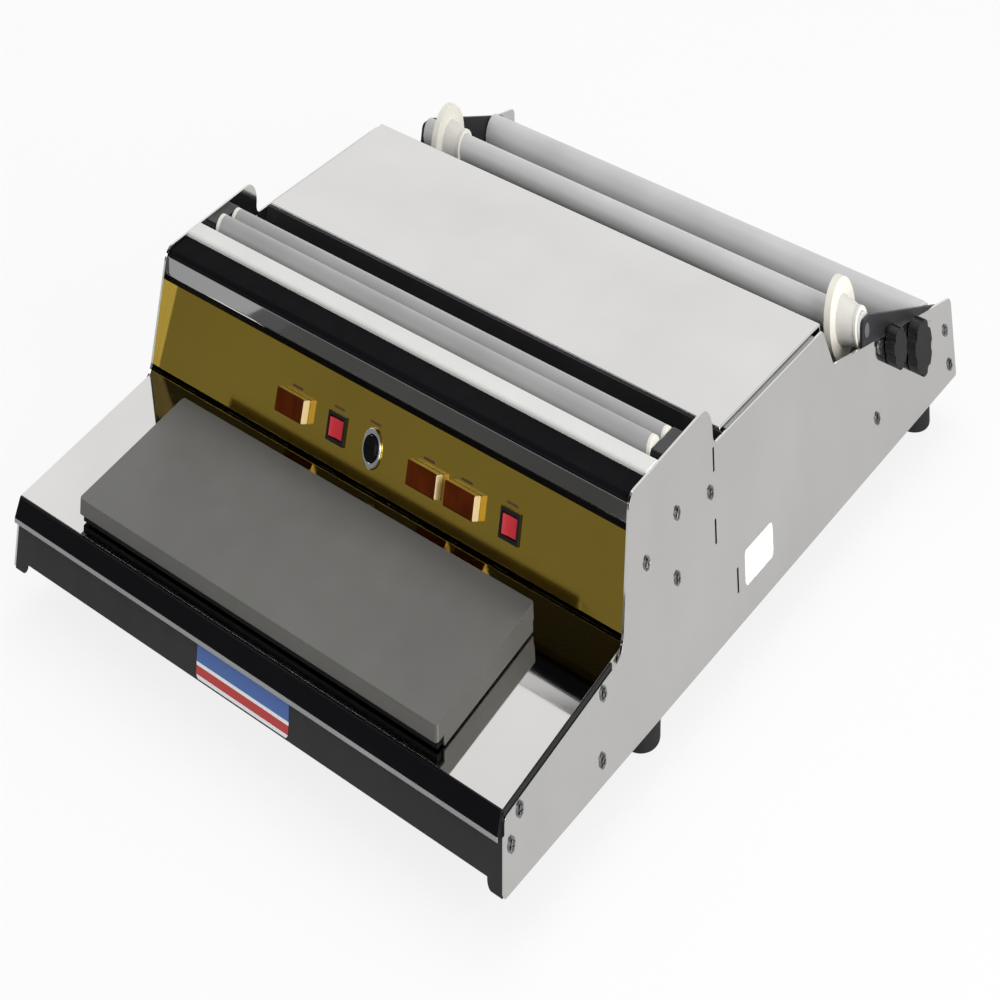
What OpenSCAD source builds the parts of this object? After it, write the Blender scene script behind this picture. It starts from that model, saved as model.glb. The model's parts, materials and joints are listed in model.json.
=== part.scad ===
// Hand film wrapper: a heated sealing plate in front, a tower with controls, a hot cutter and
// guide rollers, a flat shelf behind it and a film cradle with two rollers at the back.
// Millimetres, Z up, X to the operator's right, Y to the back.
// The origin is on the floor under the middle of the machine.

/* [Body] */
// Width over the two side plates
body_w = 530; // [500:1:600]
// Depth of a side plate from its front edge to its rear edge
body_d = 690; // [660:1:760]
// Thickness of a side plate
plate_t = 2; // [1.5:0.1:3]
// Thickness of the folded sheets
sheet_t = 1.5; // [1:0.1:2]
// Height of the side plate rim at the front edge
rim_h = 33; // [30:1:38]
// Slope of the deck and of the rim beside it, in degrees
deck_slope = 5; // [3:0.5:6]
// How far the deck stands above the rim
deck_rise = 3.2; // [2:0.1:4]
// Height of the black lip along the deck's front edge
lip_h = 12; // [10:0.5:14]
// How far the black lip stands out in front of the apron
lip_out = 6; // [4:0.5:8]
// Height of the base pan above the lower edge of the side plates
pan_rise = 5; // [3:0.5:6]
// Diameter of a foot
foot_dia = 36; // [28:1:44]
// Height of a foot
foot_h = 22; // [15:1:35]
// Distance of the front feet from the front edge
foot_front = 212; // [150:1:260]
// Distance of the rear feet from the rear edge
foot_rear = 35; // [30:1:80]
// Distance of a foot's centre from the side plate's outer face
foot_side = 30; // [25:1:60]

/* [Tower] */
// Distance from the front edge to the foot of the tower
tower_y = 150; // [145:1:165]
// How far the tower's front edge leans back
tower_lean = 12.5; // [8:0.5:18]
// Depth of the tower along the deck
tower_d = 133; // [126:1:140]
// Height of the side plate at the back of the tower
tower_h = 119.4; // [114:0.2:126]
// Fall of the tower's top edge towards the front
tower_fall = 5; // [3:0.5:7]
// Length of the control panel along its face
panel_len = 48.5; // [47:0.5:50]
// Lean of the control panel, in degrees
panel_lean = 18; // [14:1:20]
// Setback of the panel's lower edge behind the tower's foot
panel_set = 6; // [4:0.5:8]
// Height of the panel's lower edge over the deck
panel_rise = 2; // [1:0.5:4]

/* [Shelf and cradle] */
// Height of the side plate beside the shelf
shelf_h = 98; // [95:0.5:102]
// How far the shelf stands above that edge
shelf_proud = 2; // [1:0.5:3]
// Width of the film slot between tower and shelf
slot_w = 17; // [14:1:24]
// Gap between the shelf and a side plate
shelf_gap = 2.5; // [1.5:0.5:4]
// Depth of the open film cradle behind the shelf
cradle_d = 225; // [215:1:240]
// Height of the side plate where the cradle starts
step_h = 75; // [70:1:80]
// Height of the side plate at the rear edge
tail_h = 44; // [42:1:48]
// Thickness of a roller bracket
bracket_t = 2.5; // [2:0.1:4]

/* [Hot plate] */
// Width of the heated cover
plate_w = 394; // [340:1:420]
// Depth of the heated cover along the deck
plate_d = 122; // [110:1:126]
// Thickness of the heated cover
cover_t = 8; // [6:0.5:10]
// Thickness of the tray under the cover
tray_t = 4; // [3:0.5:6]
// Thickness of the cover's skirt at each end
skirt_t = 2; // [1.5:0.1:3]
// Height of tray and skirts over the deck
plate_lift = 1; // [0.8:0.1:2]
// Setback of the cover behind the front edge
plate_front = 5; // [4:0.5:8]
// Thickness of the heating mat
heater_t = 0.8; // [0.6:0.1:1.5]

/* [Controls] */
// Width of a pilot lamp
lamp_w = 32; // [26:1:36]
// Height of a pilot lamp
lamp_h = 12; // [9:0.5:14]
// How far a lamp stands out of the panel
lamp_proud = 9; // [6:0.5:10]
// Depth of a lamp's housing behind the panel
lamp_d = 14; // [10:1:18]
// Width of a switch frame
switch_w = 20; // [20:0.5:24]
// Height of a switch frame
switch_h = 14.5; // [14:0.5:20]
// Width of the opening in a switch frame
switch_open = 16; // [15:0.5:17]
// Depth of a switch behind the panel
switch_d = 15; // [14:0.5:18]
// How far a switch frame stands out of the panel
switch_proud = 2; // [1.5:0.5:3]
// Full travel of a switch rocker, in degrees
switch_travel = 18; // [12:1:20]
// Diameter of the fuse holder's ring
fuse_ring_dia = 20; // [18:0.5:24]
// Diameter of the fuse cap
fuse_cap_dia = 13; // [11:0.5:14]
// Depth of the fuse holder behind the panel
fuse_d = 16; // [13:0.5:18]

/* [Cutter and rollers] */
// Width of the white cutter strip
cutter_w = 17.5; // [14:0.5:19]
// Thickness of the white cutter strip
cutter_t = 7; // [6:0.5:9]
// Diameter of the heating rod in the strip
rod_dia = 4; // [3:0.5:5]
// Diameter of a guide roller
guide_dia = 16; // [13:0.5:17]
// Distance between the two guide rollers
guide_pitch = 20; // [18:0.5:24]
// How far the rear guide roller lies below the front one
guide_fall = 2.5; // [0:0.5:4]
// Diameter of a guide roller's shaft
guide_shaft_dia = 6; // [5:0.5:8]
// Diameter of the film support roller
support_dia = 18; // [16:0.5:22]
// Distance from the rear edge to the support roller
support_back = 150; // [140:1:156]
// Diameter of the rear cradle roller
cradle_dia = 26; // [22:0.5:30]
// Distance from the rear edge to the cradle roller
cradle_back = 42; // [38:1:46]
// Diameter of the shafts in the cradle
shaft_dia = 8; // [6:0.5:10]
// Diameter of a film stop's disc
stop_dia = 46; // [42:1:52]
// Thickness of a film stop's disc
stop_t = 7; // [5:0.5:10]
// Length of a film stop's hub
stop_hub = 20; // [16:1:28]
// Gap between a film stop's hub and its bracket
stop_set = 3; // [2.5:0.5:60]

/* [Knobs and fasteners] */
// Diameter of the front hand knob
knob_a_dia = 23; // [20:1:28]
// Diameter of the rear hand knob
knob_b_dia = 31; // [26:1:34]
// Thickness of a hand knob
knob_t = 10; // [7:0.5:14]
// Diameter of a hand knob's stud
stud_dia = 6; // [5:0.5:8]
// Diameter of a side screw
screw_dia = 4; // [3:0.5:5]
// Diameter of a tie rod
tie_dia = 10; // [8:0.5:12]
// Diameter of the lead that the gland takes
lead_dia = 8; // [6:0.5:10]
// Distance of the gland from the left side plate's outer face
gland_side = 85; // [40:1:200]

/* [Hidden] */
$fn = 64;
far = 4000;

// Fits
run_fit = 0.06;
slide_fit = 0.08;
hole_clear = 0.1;
air = 0.6;

// Side view: y runs back from the front edge, z up from the lower edge of the side plates
half_in = body_w / 2 - plate_t;
tower_back = tower_y + tower_d;
shelf_end = body_d - cradle_d;
shelf_top = shelf_h + shelf_proud;
step_set = 3;
step_run = 12;
function rim_z(y) = rim_h + y * tan(deck_slope);
function deck_z(y) = rim_z(y) + deck_rise;
function top_z(y) = tower_h - tower_fall * (tower_back - y) / tower_d;
function tail_z(y) =
  step_h - (step_h - tail_h) * (y - shelf_end - step_run) / (cradle_d - step_run);

// Corner radii of a side plate
base_r = 2;
front_r = 3;
tower_foot_r = 12;
tower_front_r = 9;
back_share = 0.65;
notch_share = 0.25;
tower_back_r = back_share * (tower_h - shelf_h);
notch_r = notch_share * (tower_h - shelf_h);
shelf_r = 4;
step_r = 6;
tail_r = 5;

// Front lip leans out towards its lower edge
lip_r = 1.2;
lip_top = 1.5;
lip_edge = 3;

// Tabs at both ends of the apron
apron_tab = 14;
apron_tab_r = 4;

// Folded sheets: side flanges and returns
flange = 14;
pan_flange_h = 17;
pan_flange_set = 2;
deck_flange = 11;
deck_flange_set = 7;

// Hot plate: tray, heating pad, standoffs and the hole for its wires
tray_top = plate_lift + tray_t;
tray_w = plate_w - 2 * (skirt_t + air);
tray_wall = 8;
tray_front = 3.5;
tray_back = 2;
pad_t = 2;
cover_r = 3;
skirt_front = 9;
wire_hole_dia = 14;
standoff_dia = 12;
standoff_side = 40;
standoff_ys = [19.5, 73];
cutout_x = 60;
cutout_dia = 16;
cutout_h = 9;
cutout_stem_dia = 9;
cutout_stem_h = 3;

// Control panel: its lower front edge and the height of its upper one
panel_y = tower_y + panel_set;
panel_z = deck_z(panel_y) + panel_rise;
panel_top_z = panel_z + panel_len * cos(panel_lean);
panel_flange_d = 27;
panel_flange_low = 10;
panel_flange_high = 4;

// Lamps, switches and fuse holder on one line across the panel
control_z = 18.6;
lamp_xs = [-96, 55, 96];
lamp_rim = 2;
lamp_body_gap = 1;
switch_xs = [-47, 144];
switch_wall = 1.4;
switch_open_h = switch_h - (switch_w - switch_open);
switch_body = switch_open + 2 * switch_wall;
switch_body_h = switch_open_h + 2 * switch_wall;
switch_floor = 2;
pivot_y = 2.2;
pin_r = 1.2;
pin_l = 1;
pin_play = 0.2;
rocker_play = 1.1;
rocker_face = 4.9;
rocker_dip = 1;
rocker_keel = 6;
rocker_tail = 9;
fuse_x = -6;
fuse_wall = 1.5;
fuse_body = fuse_cap_dia + 2 * fuse_wall;
fuse_ring_h = 2.2;
fuse_floor = 2;
fuse_cap_proud = 5;
fuse_cap_end = 3;
fuse_slot_w = 9.4;
fuse_slot_t = 1.6;
fuse_slot_d = 1.4;

// Nose above the panel
nose_lap = 4.5;
nose_set = 0.8;
nose_y = tower_y + tower_lean + nose_set;
nose_z = panel_top_z - nose_lap;
nose_inset = 2.5;
nose_d = 25;
nose_cut = 5.4;
nose_rise = 6.5;
nose_r = 4;
nose_edge_r = 1;
nose_wall = 3;
nose_back_gap = 1;
nose_top_set = 3;
nose_top_bevel = 2;
nose_top_rise = 1;
function nose_top_z(y) = top_z(y) - nose_inset;

// Cutter and guide rollers
cutter_y = nose_y + nose_d + air;
cutter_proud = 0.7;
cutter_r = 2;
cutter_top = top_z(cutter_y + cutter_w / 2) + cutter_proud;
guide_set = 6;
guide_drop = 5;
guide_front_y = cutter_y + cutter_w + guide_set + guide_dia / 2;
guide_rear_y = guide_front_y + guide_pitch;
guide_z = top_z(guide_front_y) - guide_drop;
guide_rear_z = guide_z - guide_fall;
guide_block_t = 12;
guide_block_low = 14;
guide_block_high = 4;
guide_block_r = 3;
guide_play = 1;
guide_end = half_in - guide_block_t - guide_play;
guide_cap_t = 4;
guide_spigot = 8;
guide_wall = 2;

// Film slot and shelf
channel_front = 36;
channel_depth = 13;
channel_low = 3;
channel_tab_set = 22;
channel_tab_w = 16;
channel_tab_h = 15.5;
channel_y = tower_back - channel_front;
channel_floor = shelf_top - channel_depth;
shelf_y = tower_back + slot_w;
shelf_front_drop = 9;
shelf_rear_drop = 14;
rail_w = 8;
rail_gap = 4;

// Bulkhead between the electric bay and the cradle
bulkhead_set = 10;
bulkhead_y = shelf_end - bulkhead_set;
bulkhead_drop = 3;
bulkhead_top = shelf_h - bulkhead_drop;
bulkhead_foot_gap = 4;
bulkhead_return = 12;

// Cradle
support_rise = 7.1;
cradle_drop = 10;
support_y = body_d - support_back;
support_z = tail_z(support_y) + support_rise;
cradle_y = body_d - cradle_back;
cradle_z = tail_z(cradle_y) - cradle_drop;
roller_play = 1;
roller_end = half_in - bracket_t - roller_play;
roller_wall = 2.5;
roller_plug = 10;
stop_x = half_in - bracket_t - stop_set - stop_hub - stop_t;
stop_hub_root = 5;
stop_hub_tip = 1.6;
stop_collar = 2.8;
stop_collar_t = 3;

// Rear panel stands inside the plates' rear edges
rear_set = 6;
rear_drop = 12;
rear_flange_drop = 5.5;
rear_return = 8;
rear_y = body_d - rear_set;
rear_top = tail_h - rear_drop;
rear_flange_top = tail_h - rear_flange_drop;

// Brackets of the two cradle rollers
bracket_front = 15;
bracket_low = 24;
bracket_ear_wall = 2.5;
bracket_ear = shaft_dia / 2 + bracket_ear_wall;
bracket_ear_r = 4;
bracket_below = 14;
bracket_heel = 8;
bracket_edge = 1;
bracket_r = 3;
bracket_y0 = support_y - bracket_front;
bracket_y1 = rear_y - sheet_t - flange - air;

// Hand knobs on the brackets
knob_a_back = 114;
knob_a_drop = 6.3;
knob_b_back = 73;
knob_b_drop = 13.3;
knob_a_y = body_d - knob_a_back;
knob_a_z = tail_z(knob_a_y) - knob_a_drop;
knob_b_y = body_d - knob_b_back;
knob_b_z = tail_z(knob_b_y) - knob_b_drop;
knob_gap = 0.8;
knob_flutes = 7;
knob_flute = 0.12;

// Gland for the mains lead
gland_x = gland_side - body_w / 2;
gland_z = 18.5;
gland_wall = 4;
gland_rim = 4;
gland_nut = 3;
gland_out = 5;
gland_in = 8;

// Transformer on the base pan
transformer_side = 145;
core_size = [60, 24, 52];
winding_size = [40, 48, 34];
winding_rise = 12;
shoe_size = [80, 60, 3];

// Feet taper towards the floor
foot_taper = 4;

// Labels
label_t = 0.3;
label_set = 41;
label_w = 43;
label_z = 15;
label_h = 17;
apron_label_w = 100;
apron_label_x = 2;
apron_label_low = 1;
apron_label_high = 1;

// Screws through the side plates, as side-view spots
screw_head_share = 1.75;
screw_head_dia = screw_dia * screw_head_share;
screw_head_h = 2;
deck_screw_ys = [18, 123];
deck_screw_drop = 7.7;
apron_screw_set = 8;
apron_screw_z = 19.5;
pan_screw_y = 121;
pan_screw_z = 11;
panel_screw_set = 28;
panel_screw_rise = 24;
channel_screw_set = 30;
channel_screw_drop = 10;
rear_screw_sets = [9, 5];
rear_screw_zs = [30, 9.5];
bracket_screw_set = 17;
bracket_screw_drop = 5;
bracket_screw_y = support_y + bracket_screw_set;
tie_front_set = 78;
tie_zs = [84, 54];
tie_step = 2;
tie_rear_set = 5;
tie_rear_z = 24;
tap_l = 6;
apron_screw = [apron_screw_set, apron_screw_z];
panel_screw = [panel_y + panel_screw_set, panel_z + panel_screw_rise];
channel_screw = [channel_y + channel_screw_set, channel_floor - channel_screw_drop];
bracket_screw = [bracket_screw_y, tail_z(bracket_screw_y) - bracket_screw_drop];
rear_screws = [for (i = [0, 1]) [rear_y - rear_screw_sets[i], rear_screw_zs[i]]];
tie_spots = [
  [tower_y + tie_front_set, tie_zs[0]], [tower_y + tie_front_set - tie_step, tie_zs[1]],
  [support_y + tie_rear_set, tie_rear_z]
];
screw_spots = concat(
  [for (y = deck_screw_ys) [y, deck_z(y) - deck_screw_drop]],
  [apron_screw, [pan_screw_y, pan_screw_z], panel_screw, channel_screw, bracket_screw],
  rear_screws, tie_spots
);

// Hook slots of the side plates
slot_size = [2.4, 12];
slot_set = 30;
slot_zs = [91, 56, 22];
slot_spots = [
  [tower_back, slot_zs[0]], [tower_back, slot_zs[1]], [tower_back + slot_set, slot_zs[2]]
];

// Moves the side view's origin to the middle of the floor under the machine
module place() {
  translate([0, (lip_out - body_d) / 2, foot_h]) children();
}

// Puts a side-view outline across the machine, w wide and centred on x
module across(w, x = 0) {
  translate([x, 0, 0]) rotate([90, 0, 90]) linear_extrude(w, center = true) children();
}

// Round bar or bore across the machine at a side-view spot
module cross_bar(spot, r, w, x = 0) {
  translate([x, spot[0], spot[1]]) rotate([0, 90, 0]) cylinder(r = r, h = w, center = true);
}

// Box given by its two corners
module box(a, b) {
  translate(a) cube(b - a);
}

// Frame of the control panel: x across, y into the panel, z up its face
module on_panel() {
  translate([0, panel_y, panel_z]) rotate([-panel_lean, 0, 0]) children();
}

// Frame of the hot plate: y back along the deck, z square to it
module on_deck() {
  translate([0, plate_front, deck_z(plate_front)]) rotate([deck_slope, 0, 0]) children();
}

// Block centred on x and z that runs from y0 to y1
module block(w, h, y0, y1) {
  translate([-w / 2, y0, -h / 2]) cube([w, y1 - y0, h]);
}

function unit(v) = v / norm(v);

// Points of one outline corner b between a and c, rounded to radius b[2]
function corner(a, b, c, steps = 8) =
  let (p = [b[0], b[1]], u = unit([a[0], a[1]] - p), v = unit([c[0], c[1]] - p))
  let (half = acos(u * v) / 2, mid = p + unit(u + v) * b[2] / sin(half))
  let (from = p + u * b[2] / tan(half) - mid, to = p + v * b[2] / tan(half) - mid)
  b[2] == 0
    ? [p]
    : [for (i = [0:steps]) mid + unit(from * (steps - i) + to * i) * b[2]];

// Outline through points [y, z, corner radius]
function rounded(pts) =
  let (n = len(pts))
  [for (i = [0:n - 1]) each corner(pts[(i + n - 1) % n], pts[i], pts[(i + 1) % n])];

// Screw bores through the side plates and the flanges behind them
module screw_bores(spots = screw_spots, r = screw_dia / 2 + hole_clear) {
  for (s = spots) cross_bar(s, r, far);
}

module side_outline() {
  polygon(rounded([
    [0, 0, base_r], [0, rim_h, front_r], [tower_y, rim_z(tower_y), tower_foot_r],
    [tower_y + tower_lean, top_z(tower_y + tower_lean), tower_front_r],
    [tower_back, tower_h, tower_back_r], [tower_back, shelf_h, notch_r],
    [shelf_end - step_set, shelf_h, shelf_r], [shelf_end + step_run, step_h, step_r],
    [body_d, tail_h, tail_r], [body_d, 0, base_r]
  ]));
}

module side_plate(side) {
  color("silver") place() difference() {
    across(plate_t, side * (body_w - plate_t) / 2) side_outline();
    screw_bores();
    cross_bar([cradle_y, cradle_z], shaft_dia / 2 + hole_clear, far);
    knob_bores();
    for (s = slot_spots) {
      across(far) translate(s - slot_size / 2) square(slot_size);
    }
  }
}

module knob_bores() {
  cross_bar([knob_a_y, knob_a_z], stud_dia / 2 + run_fit, far);
  cross_bar([knob_b_y, knob_b_z], stud_dia / 2 + run_fit, far);
}

module base_pan() {
  y0 = sheet_t;
  y1 = rear_y - sheet_t;
  gap = flange + pan_flange_set;
  color("dimgray") place() difference() {
    union() {
      box([-half_in, y0, pan_rise], [half_in, y1, pan_rise + sheet_t]);
      for (s = [-1, 1]) {
        translate([s * (half_in - sheet_t / 2), 0, 0])
          box([-sheet_t / 2, y0 + gap, pan_rise], [sheet_t / 2, y1 - gap, pan_flange_h]);
      }
    }
    screw_bores();
  }
}

// Hangs from the deck's front edge; a tab at each end reaches the plates' lower edge
module front_apron() {
  top = deck_z(0) - sheet_t;
  color("#28282b") place() difference() {
    union() {
      box([-half_in, 0, pan_rise], [half_in, sheet_t, top]);
      for (s = [-1, 1]) {
        translate([s * half_in, sheet_t, 0]) rotate([90, 0, 0]) linear_extrude(sheet_t)
          polygon(rounded([
            [0, 0, 0], [0, pan_rise, 0], [-s * apron_tab, pan_rise, 0], [-s * apron_tab, 0, apron_tab_r]
          ]));
        translate([s * (half_in - sheet_t / 2), 0, 0])
          box([-sheet_t / 2, sheet_t, pan_rise + sheet_t],
              [sheet_t / 2, sheet_t + flange, top - deck_flange - air]);
      }
    }
    screw_bores([apron_screw]);
  }
}

module front_lip() {
  top = deck_z(0);
  low = top - lip_h;
  color("#08080a") place() across(2 * half_in) polygon(rounded([
    [0, low, 0], [-lip_out, low, lip_r], [-lip_out, low + lip_edge, lip_r], [-lip_top, top, lip_r],
    [0, top, 0]
  ]));
}

// Sloping band under the deck line, from y0 to y1 and between two depths below it
module deck_band(y0, y1, over, under) {
  polygon([
    [y0, deck_z(y0) - under], [y1, deck_z(y1) - under], [y1, deck_z(y1) - over],
    [y0, deck_z(y0) - over]
  ]);
}

module deck_sheet() {
  color("gainsboro") place() difference() {
    union() {
      across(2 * half_in) deck_band(0, panel_y, 0, sheet_t);
      for (s = [-1, 1]) {
        across(sheet_t, s * (half_in - sheet_t / 2))
          deck_band(deck_flange_set, tower_y - deck_flange_set, 0, sheet_t + deck_flange);
      }
    }
    screw_bores();
    wire_hole();
  }
}

// Bore for the hot plate's wires, through tray and deck
module wire_hole() {
  on_deck() translate([0, plate_d / 2, 0]) cylinder(d = wire_hole_dia, h = far, center = true);
}

module plate_standoffs() {
  color("dimgray") place() on_deck()
    for (s = [-1, 1], y = standoff_ys)
      translate([s * (plate_w / 2 - standoff_side), y, 0])
        cylinder(d = standoff_dia, h = plate_lift);
}

module hot_plate_tray() {
  y1 = plate_d - tray_back;
  color("#1c1c1c") place() difference() {
    on_deck() difference() {
      box([-tray_w / 2, tray_front, plate_lift], [tray_w / 2, y1, tray_top]);
      box([-tray_w / 2 + tray_wall, tray_front + tray_wall, tray_top - pad_t],
          [tray_w / 2 - tray_wall, y1 - tray_wall, far]);
    }
    wire_hole();
  }
}

// Fills the tray's pocket and carries the cover just clear of the tray's rim
module heater_mat() {
  w = tray_w - 2 * tray_wall;
  color("sienna") place() on_deck()
    box([-w / 2, tray_front + tray_wall, tray_top - pad_t],
        [w / 2, plate_d - tray_back - tray_wall, tray_top + heater_t]);
}

// Slab with a skirt folded down at each end
module hot_plate_cover() {
  low = tray_top + heater_t;
  color("#6e6d67") place() on_deck() {
    translate([0, 0, low]) linear_extrude(cover_t) polygon(rounded([
      [-plate_w / 2, 0, cover_r], [plate_w / 2, 0, cover_r], [plate_w / 2, plate_d, cover_r],
      [-plate_w / 2, plate_d, cover_r]
    ]));
    for (s = [-1, 1]) translate([s * (plate_w - skirt_t) / 2, 0, 0])
      box([-skirt_t / 2, skirt_front, plate_lift],
          [skirt_t / 2, plate_d - cover_r, low + cover_t / 2]);
  }
}

module thermal_cutout() {
  color("ivory") place() on_deck() translate([cutout_x, plate_d / 2, -sheet_t - cutout_h]) {
    cylinder(d = cutout_dia, h = cutout_h);
    translate([0, 0, -cutout_stem_h]) cylinder(d = cutout_stem_dia, h = cutout_stem_h);
  }
}

module control_panel() {
  color("#7a5c1e") place() difference() {
    on_panel() difference() {
      union() {
        box([-half_in, 0, 0], [half_in, sheet_t, panel_len]);
        for (s = [-1, 1]) {
          translate([s * (half_in - sheet_t / 2), 0, 0])
            box([-sheet_t / 2, sheet_t, panel_flange_low],
                [sheet_t / 2, panel_flange_d, panel_len - panel_flange_high]);
        }
      }
      translate([0, 0, control_z]) {
        for (x = lamp_xs) translate([x, 0, 0])
          block(lamp_w - 2 * lamp_rim, lamp_h - 2 * lamp_rim, -far, far);
        for (x = switch_xs) translate([x, 0, 0]) block(switch_body, switch_body_h, -far, far);
        translate([fuse_x, 0, 0]) rotate([90, 0, 0])
          cylinder(d = fuse_body, h = far, center = true);
      }
    }
    screw_bores([panel_screw]);
  }
}

module pilot_lens(i) {
  plug = lamp_rim + hole_clear;
  color("#6b2410") place() on_panel() translate([lamp_xs[i], 0, control_z]) {
    block(lamp_w, lamp_h, -lamp_proud, 0);
    block(lamp_w - 2 * plug, lamp_h - 2 * plug, 0, sheet_t);
  }
}

module lamp_housings() {
  color("#222222") place() on_panel()
    for (x = lamp_xs) translate([x, 0, control_z])
      block(lamp_w - lamp_body_gap, lamp_h, sheet_t, sheet_t + lamp_d);
}

// Frame of a switch: x down along its pivot, y into the panel, z to the right
module on_switch(i) {
  on_panel() translate([switch_xs[i], 0, control_z]) rotate([0, 90, 0]) children();
}

module switch_frame(i) {
  color("#141416") place() on_switch(i) difference() {
    union() {
      block(switch_h, switch_w, -switch_proud, 0);
      block(switch_body_h - 2 * hole_clear, switch_body - 2 * hole_clear, 0, switch_d);
    }
    block(switch_open_h, switch_open, -far, switch_d - switch_floor);
    cross_bar([pivot_y, 0], pin_r + run_fit, switch_open_h + 2 * pin_l);
  }
}

// Pressed in on the right at rest; the travel swings it through level to the other side
module rocker(i) {
  half = switch_open / 2 - rocker_play;
  tail = switch_d - rocker_tail;
  color("#c8102e") place() on_switch(i) translate([0, pivot_y, 0])
    rotate([-switch_travel / 2, 0, 0]) {
      across(switch_open_h - 2 * air) polygon([
        [-rocker_face, -half], [rocker_dip - rocker_face, 0], [-rocker_face, half], [0, half],
        [tail, rocker_keel / 2], [tail, -rocker_keel / 2], [0, -half]
      ]);
      cross_bar([0, 0], pin_r, switch_open_h + 2 * (pin_l - pin_play));
    }
}

module fuse_holder() {
  color("lightgray") place() on_panel() translate([fuse_x, 0, control_z]) rotate([-90, 0, 0])
    difference() {
      union() {
        translate([0, 0, -fuse_ring_h]) cylinder(d = fuse_ring_dia, h = fuse_ring_h);
        cylinder(d = fuse_body - 2 * hole_clear, h = fuse_d);
      }
      translate([0, 0, -far])
        cylinder(d = fuse_cap_dia + 2 * run_fit, h = far + fuse_d - fuse_floor);
    }
}

module fuse_cap() {
  color("#d8d8d6") place() on_panel() translate([fuse_x, 0, control_z]) rotate([-90, 0, 0])
    difference() {
      translate([0, 0, -fuse_cap_proud])
        cylinder(d = fuse_cap_dia, h = fuse_cap_proud + fuse_d - fuse_cap_end);
      translate([-fuse_slot_w / 2, -fuse_slot_t / 2, fuse_slot_d - fuse_cap_proud - far])
        cube([fuse_slot_w, fuse_slot_t, far]);
    }
}

// Open below, so that the panel's upper edge stands behind it
module nose_band() {
  y1 = nose_y + nose_d - nose_back_gap;
  color("#2e2e32") place() across(2 * half_in) difference() {
    polygon(rounded([
      [y1, nose_z, 0], [nose_y + nose_cut, nose_z, nose_r], [nose_y, nose_z + nose_rise, nose_r],
      [nose_y, nose_top_z(nose_y) - sheet_t, nose_edge_r], [y1, nose_top_z(y1) - sheet_t, 0]
    ]));
    translate([nose_y + nose_cut, -far])
      square([far, far + nose_top_z(nose_y) - sheet_t - nose_wall]);
  }
}

module nose_top() {
  y0 = nose_y + nose_top_set;
  y1 = nose_y + nose_d;
  color("#0a0a0c") place() across(2 * half_in) polygon([
    [y0, nose_top_z(y0) - sheet_t], [y1, nose_top_z(y1) - sheet_t],
    [y1, nose_top_z(y1) + nose_top_rise], [y0 + nose_top_bevel, nose_top_z(y0 + nose_top_bevel)]
  ]);
}

module cutter_strip() {
  color("whitesmoke") place() difference() {
    across(2 * half_in) polygon(rounded([
      [cutter_y, cutter_top - cutter_t, 0], [cutter_y, cutter_top, cutter_r],
      [cutter_y + cutter_w, cutter_top, cutter_r], [cutter_y + cutter_w, cutter_top - cutter_t, 0]
    ]));
    cutter_bore(rod_dia / 2 + hole_clear);
  }
}

module cutter_bore(r) {
  cross_bar([cutter_y + cutter_w / 2, cutter_top - cutter_t / 2], r, 2 * half_in);
}

module cutter_rod() {
  color("sienna") place() cutter_bore(rod_dia / 2);
}

// Carries the guide shafts on the inside of a side plate
module guide_block(side) {
  y0 = guide_front_y - guide_dia / 2;
  y1 = guide_rear_y + guide_dia / 2;
  color("#1c1c1e") place() difference() {
    across(guide_block_t, side * (half_in - guide_block_t / 2)) polygon(rounded([
      [y0, guide_z - guide_block_low, 0], [y1, guide_z - guide_block_low, 0],
      [y1, guide_z + guide_block_high, guide_block_r], [y0, guide_z + guide_block_high, guide_block_r]
    ]));
    guide_axes() cross_bar([0, 0], guide_shaft_dia / 2 + hole_clear, far);
  }
}

module guide_axes() {
  translate([0, guide_front_y, guide_z]) children();
  translate([0, guide_rear_y, guide_rear_z]) children();
}

module guide_shafts() {
  color("silver") place() guide_axes()
    cross_bar([0, 0], guide_shaft_dia / 2, 2 * half_in);
}

// Tube of a guide roller, open at both ends for its caps
module guide_roller(y, z) {
  color("#a9aaab") place() translate([0, y, z]) difference() {
    cross_bar([0, 0], guide_dia / 2, 2 * (guide_end - guide_cap_t));
    cross_bar([0, 0], guide_dia / 2 - guide_wall, far);
  }
}

// End caps with a spigot inside the tube and a running bore on the shaft
module guide_caps(y, z) {
  spigot_x = guide_end - guide_cap_t - guide_spigot / 2;
  color("whitesmoke") place() translate([0, y, z]) for (s = [-1, 1]) difference() {
    union() {
      cross_bar([0, 0], guide_dia / 2, guide_cap_t, s * (guide_end - guide_cap_t / 2));
      cross_bar([0, 0], guide_dia / 2 - guide_wall, guide_spigot, s * spigot_x);
    }
    cross_bar([0, 0], guide_shaft_dia / 2 + run_fit, far);
  }
}

module slot_channel() {
  color("#0c0c0e") place() difference() {
    union() {
      box([-half_in, channel_y, channel_floor - sheet_t], [half_in, shelf_y, channel_floor]);
      box([-half_in, channel_y, channel_floor],
          [half_in, channel_y + sheet_t, shelf_top - channel_low]);
      box([-half_in, shelf_y - sheet_t, channel_floor], [half_in, shelf_y, shelf_top - sheet_t]);
      for (s = [-1, 1]) {
        translate([s * (half_in - sheet_t / 2), channel_y, 0])
          box([-sheet_t / 2, channel_tab_set, channel_floor - sheet_t - channel_tab_h],
              [sheet_t / 2, channel_tab_set + channel_tab_w, channel_floor - sheet_t]);
      }
    }
    screw_bores([channel_screw]);
  }
}

module shelf_sheet() {
  w = half_in - shelf_gap;
  y1 = shelf_end;
  under = shelf_top - sheet_t;
  color("gainsboro") place() {
    box([-w, shelf_y, under], [w, y1, shelf_top]);
    box([-w, shelf_y, shelf_top - shelf_front_drop], [w, shelf_y + sheet_t, under]);
    box([-w, y1 - sheet_t, shelf_top - shelf_rear_drop], [w, y1, under]);
  }
}

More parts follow.
